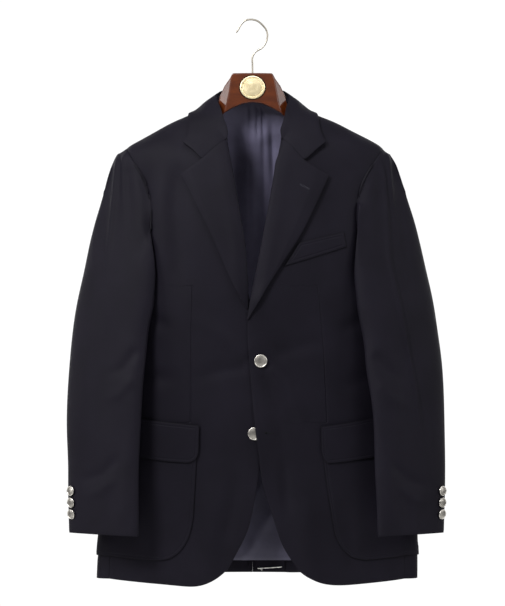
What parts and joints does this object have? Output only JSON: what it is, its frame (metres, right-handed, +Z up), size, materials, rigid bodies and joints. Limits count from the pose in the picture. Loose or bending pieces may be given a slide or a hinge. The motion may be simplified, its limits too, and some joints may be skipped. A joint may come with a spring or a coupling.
{
  "type": "single breasted blazer on a wooden hanger",
  "caption": "Single breasted notch-lapel blazer with patch pockets and metal buttons, hanging open-necked on a wooden hanger with a wire hook",
  "frame": {"origin": "the inside top of the hook's bend, where the rail carries it", "axes": "+Z up, +X the wearer's left, -Y the front"},
  "size_m": [0.6069, 0.1722, 0.9078],
  "materials": {
    "wool_twill": "fine wool twill",
    "lining_satin": "satin",
    "polished_wood": "polished",
    "hook_wire": "satin",
    "badge_brass": "satin",
    "button_metal": "satin"
  },
  "bodies": {
    "root": {"front_left": "wool_twill", "front_right": "wool_twill", "side_left": "wool_twill", "side_right": "wool_twill", "back_left": "wool_twill", "back_right": "wool_twill", "sleeve_top_left": "wool_twill", "sleeve_top_right": "wool_twill", "sleeve_under_left": "wool_twill", "sleeve_under_right": "wool_twill", "lapel_left": "wool_twill", "lapel_right": "wool_twill", "collar": "wool_twill", "collar_stand": "wool_twill", "breast_welt": "wool_twill", "patch_pocket_left": "wool_twill", "patch_pocket_right": "wool_twill", "flap_left": "wool_twill", "flap_right": "wool_twill", "vent_underlap": "wool_twill", "lining_back": "lining_satin", "hanger_wood": "polished_wood", "hanger_hook": "hook_wire", "hanger_badge": "badge_brass", "front_button_upper": "button_metal", "front_button_lower": "button_metal", "cuff_button_left_1": "button_metal", "cuff_button_left_2": "button_metal", "cuff_button_left_3": "button_metal", "cuff_button_right_1": "button_metal", "cuff_button_right_2": "button_metal", "cuff_button_right_3": "button_metal"}
  },
  "joints": []
}
